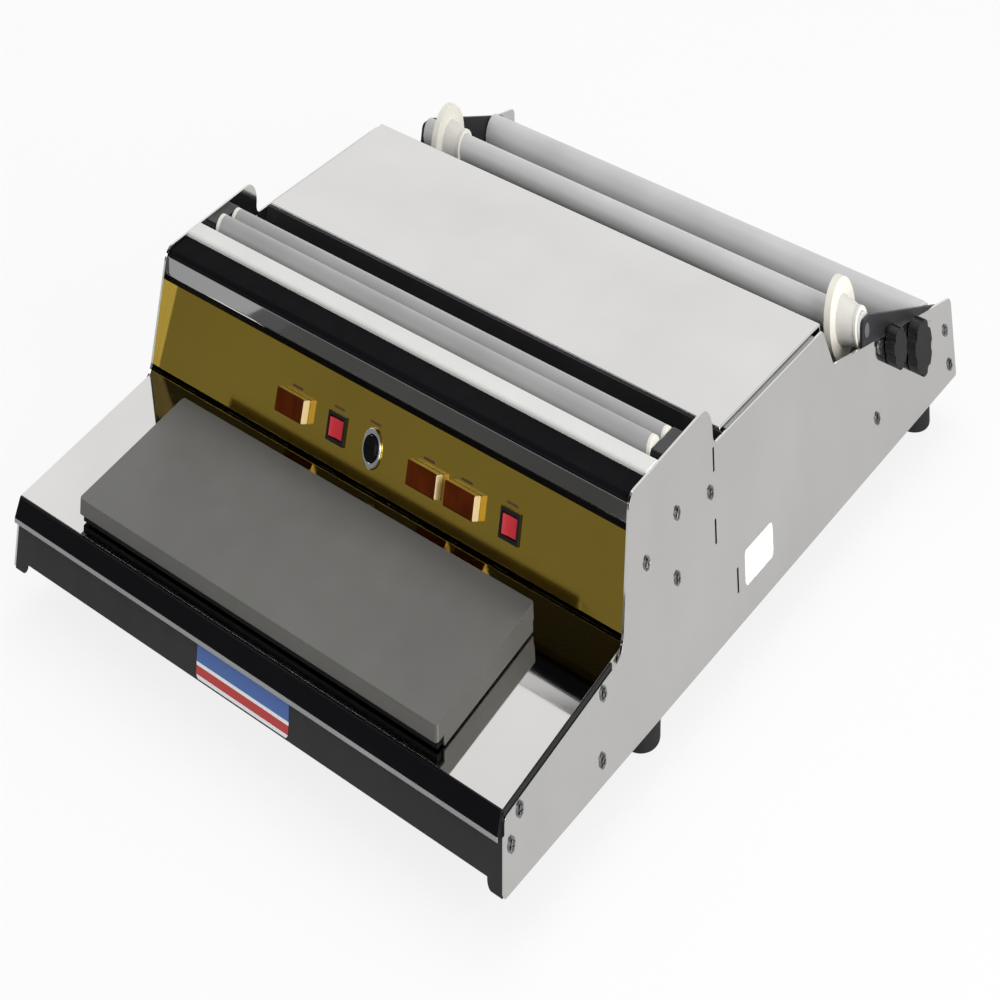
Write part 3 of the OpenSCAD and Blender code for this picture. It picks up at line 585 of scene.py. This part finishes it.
def axes_of(x, y, z):
    """Matrix whose axes are the three given ones."""
    return Matrix((x, y, z)).transposed().to_4x4()


def panel_frame():
    """Matrix of the control panel's face: x across, y up the face, z out of it."""
    shape = merged("control_panel")
    face = largest_face(shape, FORWARD)
    out, at = face.normal.copy(), face.calc_center_bounds()
    shape.free()
    return Matrix.Translation(at) @ axes_of(ACROSS, out.cross(ACROSS), out)


def each(items):
    """The items without repeats, in the order they come, so that every run gives the same mesh."""
    return list(dict.fromkeys(items))


def islands(node):
    """Lowest and highest corner of each separate body in a node, in the order of its vertices."""
    shape = merged(node)
    seen = set()
    for first in shape.verts:
        if first in seen:
            continue
        found, ahead = [], [first]
        seen.add(first)
        while ahead:
            vert = ahead.pop()
            found.append(vert)
            near = {e.other_vert(vert) for e in vert.link_edges} - seen
            seen |= near
            ahead.extend(near)
        corners = list(zip(*(v.co for v in found)))
        yield Vector([min(c) for c in corners]), Vector([max(c) for c in corners])
    shape.free()


class FILMWRAPPER_OT_body(bpy.types.Operator):
    """Side plates, apron, lip, deck, pan, bulkhead and rear panel"""

    bl_idname = "film_wrapper.body"
    bl_label = "Body sheets"

    # Share of a face's normal that makes it a front or an upper face of the lip
    lip_front = -0.2
    lip_upper = 0.3
    bead_round = 0.25
    bead_segments = 2

    def execute(self, context):
        s = sizes()
        for side in ("left", "right"):
            soften("side_plate_" + side, polished_steel, s.plate_round)
        soften("front_apron", black_paint, s.sheet_round)
        self.lip()
        soften("deck_sheet", mirror_steel, s.deck_round)
        # Dark beads of painted shade along the deck's edges
        self.seals()
        soften("rear_panel", polished_steel, s.sheet_round)
        # Bulkhead and pan are black as painted shade inside the cradle
        soften("bulkhead", black_paint, s.sheet_round)
        soften("base_pan", black_paint, s.sheet_round)
        return {"FINISHED"}

    def lip(self):
        """Black lip whose lower edge is bare."""
        s = sizes()
        shape = merged("front_lip")
        rounded_edges(shape, sharp_edges(shape), s.sheet_round)
        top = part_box("front_lip")[0].z + s.lip_trim
        for face in shape.faces:
            front = face.normal.y < self.lip_front and face.normal.z < self.lip_upper
            if front and face.calc_center_median().z < top:
                face.material_index = 1
        stand_for(piece_from(shape, "front_lip_skin", gloss_black, lip_trim), "front_lip")

    def seals(self):
        """Dark bead along each side of the deck, in the corner over the side plate's rim: painted
        shade for the shaded gap between deck and plate.
        """
        s = sizes()
        shape = merged("deck_sheet")
        face = largest_face(shape, UP)
        up = face.normal.copy()
        corners = [v.co.copy() for v in face.verts]
        shape.free()
        front = min(corners, key=lambda c: c.y)
        edge = max(abs(c.x) for c in corners)
        axes = axes_of(ACROSS, up.cross(ACROSS), up)
        size = Vector((s.seal_width, s.seal_length, s.seal_height))
        for side, name in ((-1.0, "left"), (1.0, "right")):
            bead = bmesh.new()
            bmesh.ops.create_cube(bead, size=1.0)
            bmesh.ops.scale(bead, vec=size, verts=bead.verts)
            rounded_edges(bead, bead.edges[:], s.seal_width * self.bead_round, self.bead_segments)
            middle = Vector((0.0, s.seal_length / 2, -s.seal_drop - s.seal_height / 2))
            start = Vector((side * (edge + s.seal_width / 2), front.y, front.z))
            place = Matrix.Translation(start) @ axes @ Matrix.Translation(middle)
            bmesh.ops.transform(bead, matrix=place, verts=bead.verts)
            piece = piece_from(bead, "deck_seal_" + name, rubber)
            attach(piece, NODES["deck_sheet"]["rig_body"])


class FILMWRAPPER_OT_hot_plate(bpy.types.Operator):
    """Heated cover, its tray and what is under it"""

    bl_idname = "film_wrapper.hot_plate"
    bl_label = "Hot plate"

    cover_segments = 4

    def execute(self, context):
        s = sizes()
        soften("hot_plate_cover", plate_cloth, s.cover_round, self.cover_segments)
        # The tray's black is painted shade under the cover
        soften("hot_plate_tray", tray_paint, s.sheet_round)
        paint("heater_mat", copper_core)
        paint("thermal_cutout", cream_plastic)
        paint("plate_standoffs", zinc_steel)
        return {"FINISHED"}


class FILMWRAPPER_OT_controls(bpy.types.Operator):
    """Gold panel with its lamps, switches, fuse and printed marks"""

    bl_idname = "film_wrapper.controls"
    bl_label = "Controls"

    lens_grooves = 4
    groove_share = 0.2
    # Share of a face's normal that makes it the right end of a lens, which takes the painted
    # highlight
    lens_right = 0.7
    # A printed bar's corner takes one of these parts of its height
    bar_parts = 3
    marked = (
        "pilot_lens_left",
        "switch_frame_left",
        "fuse_holder",
        "pilot_lens_middle",
        "pilot_lens_right",
        "switch_frame_right",
    )

    def execute(self, context):
        s = sizes()
        soften("control_panel", gold_panel, s.sheet_round)
        for place in ("left", "middle", "right"):
            self.lens("pilot_lens_" + place)
        for side in ("left", "right"):
            soften("switch_frame_" + side, black_plastic, s.moulded_round)
            soften("rocker_" + side, rocker_plastic, s.moulded_round)
        soften("fuse_holder", bright_metal, s.moulded_round)
        soften("fuse_cap", gloss_black, s.moulded_round)
        paint("lamp_housings", black_plastic)
        self.legends()
        return {"FINISHED"}

    def lens(self, node):
        """Rounded lens, grooved across its front, whose right end has a painted highlight in pale
        cream.
        """
        shape = merged(node)
        rounded_edges(shape, sharp_edges(shape), sizes().moulded_round)
        front = largest_face(shape, FORWARD)
        out, at = front.normal.copy(), front.calc_center_bounds()
        ends = [v.co.x for v in front.verts]
        pitch = (max(ends) - min(ends)) / self.lens_grooves
        half = self.groove_share * pitch
        for i in range(self.lens_grooves):
            middle = min(ends) + (i + 0.5) * pitch
            for x in (middle - half, middle, middle + half):
                flat = [
                    f for f in shape.faces if abs((f.calc_center_bounds() - at).dot(out)) < MERGE
                ]
                edges = each(e for f in flat for e in f.edges)
                verts = each(v for f in flat for v in f.verts)
                cut = [*verts, *edges, *flat]
                bmesh.ops.bisect_plane(shape, geom=cut, plane_co=x * ACROSS, plane_no=ACROSS)
            line = [
                v
                for v in shape.verts
                if abs(v.co.x - middle) < MERGE and abs((v.co - at).dot(out)) < MERGE
            ]
            bmesh.ops.translate(shape, verts=line, vec=-out * sizes().lens_groove)
        # Faces that look to the right take the painted highlight of the lens end
        for face in shape.faces:
            face.material_index = 1 if face.normal.x > self.lens_right else 0
        stand_for(piece_from(shape, node + "_skin", lens_amber, lens_end), node)

    def legends(self):
        """Plain printed bars over the lamps, switches and fuse."""
        s = sizes()
        panel = panel_frame()
        shape = bmesh.new()
        for node in self.marked:
            low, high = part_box(node)
            middle = panel.inverted() @ ((low + high) / 2)
            top = panel.inverted() @ Vector((middle.x, low.y, high.z))
            place = Vector((middle.x, top.y + s.legend_gap, s.legend_film / 2))
            bar = bmesh.ops.create_cube(shape, size=1.0)["verts"]
            bmesh.ops.scale(shape, verts=bar, vec=(s.legend_length, s.legend_bar, s.legend_film))
            bmesh.ops.transform(shape, verts=bar, matrix=panel @ Matrix.Translation(place))
        corners = [e for e in shape.edges if e.calc_length() < 2 * s.legend_film]
        rounded_edges(shape, corners, s.legend_bar / self.bar_parts)
        piece = piece_from(shape, "panel_legends", legend_ink)
        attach(piece, NODES["control_panel"]["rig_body"])


class FILMWRAPPER_OT_tower_top(bpy.types.Operator):
    """Nose, cutter strip and guide rollers"""

    bl_idname = "film_wrapper.tower_top"
    bl_label = "Tower top"

    # Share of a face's normal that makes it the top or underside of the nose; black on the
    # underside is painted shade
    nose_level = 0.3

    def execute(self, context):
        s = sizes()
        self.nose()
        soften("nose_top", nose_black, s.sheet_round)
        soften("cutter_strip", strip_white, s.sheet_round)
        for end in ("front", "rear"):
            soften("guide_roller_" + end, guide_grey, s.roller_round)
            soften("guide_caps_" + end, cream_plastic, s.roller_round)
        for side in ("left", "right"):
            soften("guide_block_" + side, black_plastic, s.moulded_round)
        paint("cutter_rod", copper_core)
        paint("guide_shafts", satin_steel)
        return {"FINISHED"}

    def nose(self):
        """Chromed band, black on its top; the black on its underside is painted shade."""
        shape = merged("nose_band")
        rounded_edges(shape, sharp_edges(shape), sizes().sheet_round)
        for face in shape.faces:
            face.material_index = 1 if abs(face.normal.z) > self.nose_level else 0
        stand_for(piece_from(shape, "nose_band_skin", nose_chrome, nose_black), "nose_band")


class FILMWRAPPER_OT_shelf(bpy.types.Operator):
    """Film slot, shelf and the bars below it"""

    bl_idname = "film_wrapper.shelf"
    bl_label = "Shelf"

    def execute(self, context):
        s = sizes()
        soften("shelf_sheet", satin_steel, s.deck_round)
        # The black channel stands in for the shade in the film slot
        soften("slot_channel", black_paint, s.sheet_round)
        paint("shelf_rails", zinc_steel)
        return {"FINISHED"}


class FILMWRAPPER_OT_cradle(bpy.types.Operator):
    """Brackets, rollers and film stops of the film cradle"""

    bl_idname = "film_wrapper.cradle"
    bl_label = "Film cradle"

    hub_share = 0.75
    # Share of a face's normal that makes it an end of a film stop
    stop_end = 0.5

    def execute(self, context):
        s = sizes()
        for side in ("left", "right"):
            # Brackets are black as painted shade inside the cradle
            soften("cradle_bracket_" + side, black_paint, s.sheet_round)
            self.stop("film_stop_" + side)
        for roller in ("support_roller", "cradle_roller"):
            soften(roller, roller_grey, s.roller_round)
        paint("support_shaft", screw_steel)
        paint("cradle_shaft", satin_steel)
        return {"FINISHED"}

    def stop(self, node):
        """Pale disc with a greyer hub."""
        low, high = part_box(node)
        axis = (low + high) / 2
        reach = (high.y - low.y) / 2
        shape = merged(node)
        rounded_edges(shape, sharp_edges(shape), sizes().stop_round)
        for face in shape.faces:
            arm = face.calc_center_median() - axis
            inner = math.hypot(arm.y, arm.z) < self.hub_share * reach
            face.material_index = 1 if inner and abs(face.normal.x) < self.stop_end else 0
        stand_for(piece_from(shape, node + "_skin", cream_plastic, hub_grey), node)


class FILMWRAPPER_OT_fittings(bpy.types.Operator):
    """Knobs, screws, tie rods, feet and gland"""

    bl_idname = "film_wrapper.fittings"
    bl_label = "Fittings"

    cross_share = 0.6
    cross_cells = 5
    cross_taper = 0.25
    rim_segments = 24
    screw_turn = math.radians(37)

    def execute(self, context):
        s = sizes()
        for place in ("front_left", "front_right", "rear_left", "rear_right"):
            soften("knob_" + place, black_plastic, s.knob_round)
        self.screws()
        soften("feet", rubber, s.foot_round)
        soften("cord_gland", rubber, s.moulded_round)
        paint("tie_rods", zinc_steel)
        paint("transformer", copper_core)
        return {"FINISHED"}

    def screws(self):
        """Domed screw heads with a cross, over the screws of both side plates."""
        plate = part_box("side_plate_right")[1].x
        shape = bmesh.new()
        for i, (low, high) in enumerate(islands("side_screws")):
            side = 1.0 if low.x + high.x > 0 else -1.0
            top = max(abs(low.x), abs(high.x))
            middle = (low + high) / 2
            verts = self.head(shape, (high.y - low.y) / 2, top - plate)
            place = (
                Matrix.Translation((side * top, middle.y, middle.z))
                @ Matrix.Rotation(side * math.pi / 2, 4, "Y")
                @ Matrix.Rotation(i * self.screw_turn, 4, "Z")
            )
            bmesh.ops.transform(shape, verts=verts, matrix=place)
        bmesh.ops.recalc_face_normals(shape, faces=shape.faces)
        stand_for(piece_from(shape, "side_screws_skin", screw_steel), "side_screws")

    def head(self, shape, radius, height):
        """One head that looks up, its top at zero; gives its vertices."""
        s = sizes()
        before = set(shape.verts)
        cells, half = self.cross_cells, radius * self.cross_share
        grid = bmesh.ops.create_grid(shape, x_segments=cells, y_segments=cells, size=half)["verts"]
        faces = each(f for v in grid for f in v.link_faces)
        rim = [e for e in each(e for f in faces for e in f.edges) if len(e.link_faces) == 1]
        arm = half / cells
        cross = [f for f in faces if min(map(abs, f.calc_center_median().xy)) < arm]
        bmesh.ops.inset_region(
            shape,
            faces=cross,
            thickness=arm * self.cross_taper,
            depth=-s.screw_cross,
            use_even_offset=True,
        )
        ring = bmesh.ops.create_circle(shape, segments=self.rim_segments, radius=radius)["verts"]
        bmesh.ops.translate(shape, verts=ring, vec=(0.0, 0.0, -s.screw_dome))
        edge = each(e for v in ring for e in v.link_edges)
        bmesh.ops.bridge_loops(shape, edges=rim + edge)
        wall = bmesh.ops.extrude_edge_only(shape, edges=edge)["geom"]
        foot = [g for g in wall if isinstance(g, bmesh.types.BMVert)]
        bmesh.ops.translate(shape, verts=foot, vec=(0.0, 0.0, s.screw_dome - height))
        low = [g for g in wall if isinstance(g, bmesh.types.BMEdge) and len(g.link_faces) == 1]
        bmesh.ops.edgeloop_fill(shape, edges=low)
        return [v for v in shape.verts if v not in before]


class FILMWRAPPER_OT_labels(bpy.types.Operator):
    """Blank label on the side and banded label on the apron"""

    bl_idname = "film_wrapper.labels"
    bl_label = "Labels"

    # Share of an edge that makes it run through a label
    edge_through = 0.9
    corner_segments = 5

    def execute(self, context):
        self.label("rating_label", label_white, ACROSS)
        self.label("apron_label", label_bands, FORWARD)
        return {"FINISHED"}

    def label(self, node, maker, through):
        """Thin label with round corners; its short edges run along the way through it."""
        shape = merged(node)
        corners = [
            e
            for e in shape.edges
            if abs((e.verts[1].co - e.verts[0].co).normalized().dot(through)) > self.edge_through
        ]
        rounded_edges(shape, corners, sizes().label_round, self.corner_segments)
        stand_for(piece_from(shape, node + "_skin", maker), node)


class FILMWRAPPER_OT_stage(bpy.types.Operator):
    """Floor, lamps, surroundings and camera"""

    bl_idname = "film_wrapper.stage"
    bl_label = "Studio"

    floor_half = 9.0
    floor_tone = (0.8, 0.8, 0.8)
    # Share of the floor's own white in what camera and bright metal see of it
    floor_white = 0.84
    sight_end = 100.0
    # Name, place and size of each lamp, and the value that holds its power
    lamps = (
        ("key_lamp", (2.6, -0.6, 0.8), (1.6, 1.2), "key_power"),
        ("top_lamp", (-0.4, 0.9, 2.4), (1.8, 1.8), "top_power"),
        ("soft_box", (-1.65, -1.7, 1.28), (1.0, 0.62), "soft_power"),
    )
    # Sides of the dark card that bright metal shows, in degrees to the left of the front
    card_right = (4.0, 12.0)
    card_left = (76.0, 84.0)
    # Heights on a unit sphere where its shade starts, where it ends and where the ceiling starts
    shade_start = (0.3, 0.36)
    card_top = (0.88, 0.96)
    ceiling_start = (0.52, 0.7)

    def execute(self, context):
        scene = context.scene
        scene.view_settings.view_transform = "Standard"
        floor = self.floor(scene)
        self.surroundings(scene)
        for name, place, size, power in self.lamps:
            self.lamp(scene, name, place, size, getattr(studio(), power))
        self.camera(scene, floor)
        return {"FINISHED"}

    def floor(self, scene):
        """White floor that keeps a faint shadow and looks white to the camera."""
        shape = bmesh.new()
        bmesh.ops.create_grid(shape, x_segments=1, y_segments=1, size=self.floor_half)
        mesh = bpy.data.meshes.new("floor")
        shape.to_mesh(mesh)
        shape.free()
        floor = bpy.data.objects.new("floor", mesh)
        scene.collection.objects.link(floor)
        finish = Finish("floor_white")
        finish.set(Base_Color=self.floor_tone, Roughness=0.9, Specular_IOR_Level=0.1)
        glow = finish.node("ShaderNodeEmission")
        mix = finish.node("ShaderNodeMixShader")
        path = finish.node("ShaderNodeLightPath")
        seen = finish.node("ShaderNodeMath", operation="MAXIMUM")
        share = finish.node("ShaderNodeMath", operation="MULTIPLY")
        share.inputs[1].default_value = self.floor_white
        out = finish.tree.nodes["Material Output"]
        finish.link(path.outputs["Is Camera Ray"], seen.inputs[0])
        finish.link(path.outputs["Is Glossy Ray"], seen.inputs[1])
        finish.link(seen.outputs[0], share.inputs[0])
        finish.link(share.outputs[0], mix.inputs["Fac"])
        level = finish.between(path.outputs["Is Glossy Ray"], 1.0, studio().floor_level, 0.0, 1.0)
        finish.link(level, glow.inputs["Strength"])
        finish.link(finish.shader.outputs["BSDF"], mix.inputs[1])
        finish.link(glow.outputs["Emission"], mix.inputs[2])
        finish.link(mix.outputs["Shader"], out.inputs["Surface"])
        mesh.materials.append(finish.material)
        return floor

    def surroundings(self, scene):
        """White to the camera, even light, and for bright metal a dark ceiling and card."""
        world = bpy.data.worlds.new("studio")
        scene.world = world
        world.use_nodes = True
        tree = world.node_tree
        tree.nodes.clear()

        def node(kind, **values):
            made = tree.nodes.new(kind)
            for key, value in values.items():
                setattr(made, key, value)
            return made

        def maths(operation, a, b):
            made = node("ShaderNodeMath", operation=operation)
            for socket, value in zip(made.inputs, (a, b)):
                if isinstance(value, float):
                    socket.default_value = value
                else:
                    tree.links.new(value, socket)
            return made.outputs[0]

        def step(source, start, end, low=0.0, high=1.0):
            made = node("ShaderNodeMapRange", interpolation_type="SMOOTHSTEP")
            for name, value in (
                ("From Min", start),
                ("From Max", end),
                ("To Min", low),
                ("To Max", high),
            ):
                made.inputs[name].default_value = value
            tree.links.new(source, made.inputs["Value"])
            return made.outputs["Result"]

        way = node("ShaderNodeTexCoord").outputs["Generated"]
        split = node("ShaderNodeSeparateXYZ")
        tree.links.new(way, split.inputs["Vector"])
        x, y, z = (split.outputs[i] for i in range(3))
        left = maths("ARCTAN2", maths("MULTIPLY", x, -1.0), maths("MULTIPLY", y, -1.0))
        within = maths(
            "MULTIPLY",
            step(left, *map(math.radians, self.card_left), 1.0, 0.0),
            step(left, *map(math.radians, self.card_right)),
        )
        front = maths("MULTIPLY", within, step(z, *self.card_top, 1.0, 0.0))
        card = step(z, *self.shade_start, studio().card_level, studio().shade_level)
        above = step(z, *self.ceiling_start, 1.0, studio().ceiling_level)
        shown = maths(
            "ADD",
            maths("MULTIPLY", front, card),
            maths("MULTIPLY", maths("SUBTRACT", 1.0, front), above),
        )
        path = node("ShaderNodeLightPath")
        gloss = path.outputs["Is Glossy Ray"]
        level = maths(
            "ADD",
            maths("MULTIPLY", gloss, shown),
            maths("MULTIPLY", maths("SUBTRACT", 1.0, gloss), studio().sky_level),
        )
        white = node("ShaderNodeBackground")
        lit = node("ShaderNodeBackground")
        tree.links.new(level, lit.inputs["Strength"])
        mix = node("ShaderNodeMixShader")
        out = node("ShaderNodeOutputWorld")
        white.inputs["Color"].default_value = (1.0, 1.0, 1.0, 1.0)
        lit.inputs["Color"].default_value = (1.0, 1.0, 1.0, 1.0)
        tree.links.new(path.outputs["Is Camera Ray"], mix.inputs["Fac"])
        tree.links.new(lit.outputs[0], mix.inputs[1])
        tree.links.new(white.outputs[0], mix.inputs[2])
        tree.links.new(mix.outputs[0], out.inputs["Surface"])

    def lamp(self, scene, name, place, size, power):
        """Area lamp that looks at the origin."""
        light = bpy.data.lights.new(name, "AREA")
        light.shape = "RECTANGLE"
        light.size, light.size_y = size
        light.energy = power
        lamp = bpy.data.objects.new(name, light)
        scene.collection.objects.link(lamp)
        lamp.location = place
        lamp.rotation_euler = (-Vector(place)).to_track_quat("-Z", "Y").to_euler()

    def camera(self, scene, floor):
        """Camera of the photograph, whose picture is drawn out in height.

        Its picture plane leans back against its line of sight, as on a view camera, so upright
        lengths come out longer while the line of sight keeps the photograph's angle.
        """
        st = studio()
        lens = bpy.data.cameras.new("camera")
        lens.lens = st.lens
        lens.clip_end = self.sight_end
        camera = bpy.data.objects.new("camera", lens)
        scene.collection.objects.link(camera)
        scene.camera = camera
        plane = Euler((st.plane_tilt, st.plane_roll, st.plane_turn)).to_matrix()
        flat = math.cos(st.sight_elevation)
        back = Vector(
            (
                flat * math.sin(st.sight_azimuth),
                -flat * math.cos(st.sight_azimuth),
                math.sin(st.sight_elevation),
            )
        )
        axes = axes_of(plane.col[0], plane.col[1], back)
        camera.parent = floor
        camera.matrix_parent_inverse = Matrix.Translation(st.camera_place) @ axes


class FILMWRAPPER_PT_looks(bpy.types.Panel):
    """Lists the steps that dress the film wrapper"""

    bl_label = "Film wrapper"
    bl_space_type = "VIEW_3D"
    bl_region_type = "UI"
    bl_category = "Film wrapper"

    def draw(self, context):
        for operator in OPERATORS:
            self.layout.operator(operator.bl_idname)
        for group in (sizes(), colours(), studio()):
            box = self.layout.box()
            for name in group.__annotations__:
                box.prop(group, name)


OPERATORS = (
    FILMWRAPPER_OT_stage,
    FILMWRAPPER_OT_body,
    FILMWRAPPER_OT_hot_plate,
    FILMWRAPPER_OT_controls,
    FILMWRAPPER_OT_tower_top,
    FILMWRAPPER_OT_shelf,
    FILMWRAPPER_OT_cradle,
    FILMWRAPPER_OT_fittings,
    FILMWRAPPER_OT_labels,
)
GROUPS = {
    "film_wrapper_sizes": FilmWrapperSizes,
    "film_wrapper_colours": FilmWrapperColours,
    "film_wrapper_studio": FilmWrapperStudio,
}


def register():
    for made in (*GROUPS.values(), *OPERATORS, FILMWRAPPER_PT_looks):
        bpy.utils.register_class(made)
    for name, group in GROUPS.items():
        setattr(bpy.types.Scene, name, bpy.props.PointerProperty(type=group))


def unregister():
    for name in GROUPS:
        delattr(bpy.types.Scene, name)
    for made in (FILMWRAPPER_PT_looks, *reversed(OPERATORS), *reversed(GROUPS.values())):
        bpy.utils.unregister_class(made)


def main():
    register()
    for operator in OPERATORS:
        group, name = operator.bl_idname.split(".")
        getattr(getattr(bpy.ops, group), name)()


if __name__ == "__main__":
    main()
